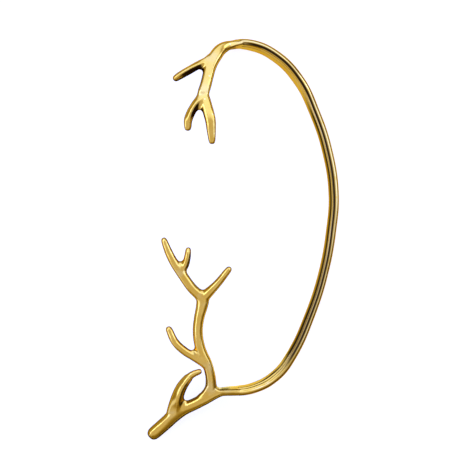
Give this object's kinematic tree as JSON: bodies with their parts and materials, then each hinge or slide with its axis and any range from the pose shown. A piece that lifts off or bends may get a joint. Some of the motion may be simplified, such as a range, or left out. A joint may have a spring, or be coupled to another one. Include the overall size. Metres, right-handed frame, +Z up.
{
  "type": "ear cuff",
  "caption": "Antler ear cuff: a C-shaped wrap of flat strip for behind the ear, with a forked tine at its top end and a branched antler at its bottom end.",
  "frame": {"origin": "middle of the floor under the cuff as it lies on its back", "axes": "+Z up, out of the antlers' face, +Y up the ear, +X towards the back of the ear"},
  "size_m": [0.0358, 0.075, 0.0096],
  "materials": {
    "gold_plate": "polished gold plating on the wrap, satin on the antlers"
  },
  "bodies": {
    "root": {"ear_cuff": "gold_plate"}
  },
  "joints": []
}
